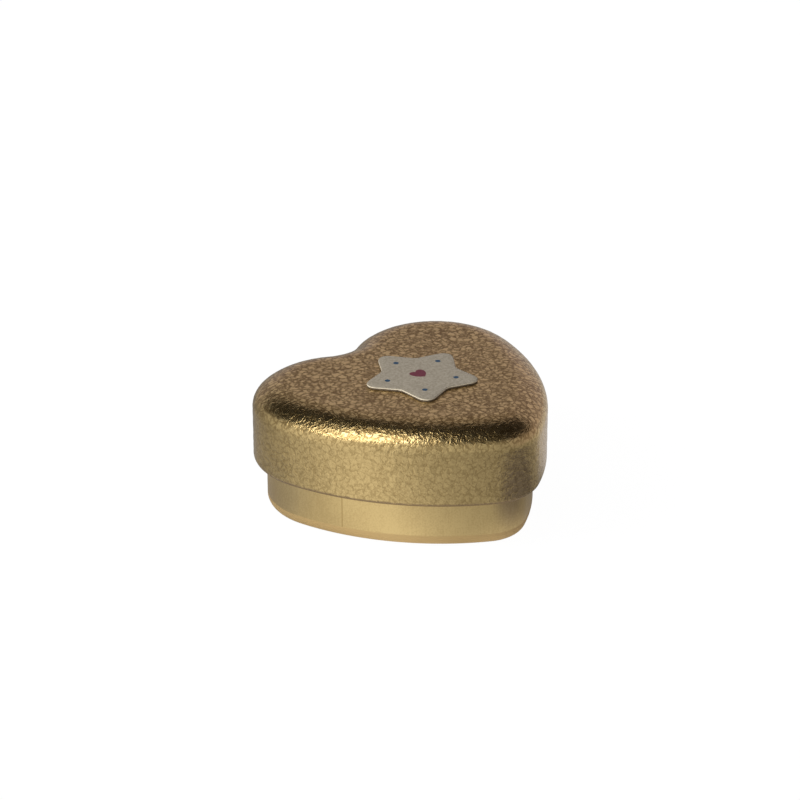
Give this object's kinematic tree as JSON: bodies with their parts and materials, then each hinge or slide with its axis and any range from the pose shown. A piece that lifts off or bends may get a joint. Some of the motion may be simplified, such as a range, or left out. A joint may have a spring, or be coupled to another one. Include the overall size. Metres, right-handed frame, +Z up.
{
  "type": "heart-shaped keepsake tin",
  "caption": "Heart-shaped metal tin for keeping baby teeth, with a slip-on lid of grained gold finish, a raised pale star on its top and a smooth satin gold base.",
  "frame": {"origin": "on the surface that the tin stands on, under the middle of the heart's box", "axes": "+Z up, +X across the two lobes, -Y towards the heart's point and +Y towards its cleft"},
  "size_m": [0.046, 0.0424, 0.0201],
  "materials": {
    "lid_gold": "gold lacquer with a fine crackled grain, semi-gloss",
    "base_gold": "smooth satin gold lacquer",
    "emblem_enamel": "pale grey matt enamel with small blue and dark red marks"
  },
  "bodies": {
    "base": {"base_wall": "base_gold", "base_bottom": "base_gold"},
    "lid": {"lid_shell": "lid_gold", "lid_emblem": "emblem_enamel"}
  },
  "joints": [
    {"name": "lid_lift", "type": "slide", "parent": "base", "child": "lid", "axis": [0, 0, 1], "range_m": [0, 0.025]}
  ]
}
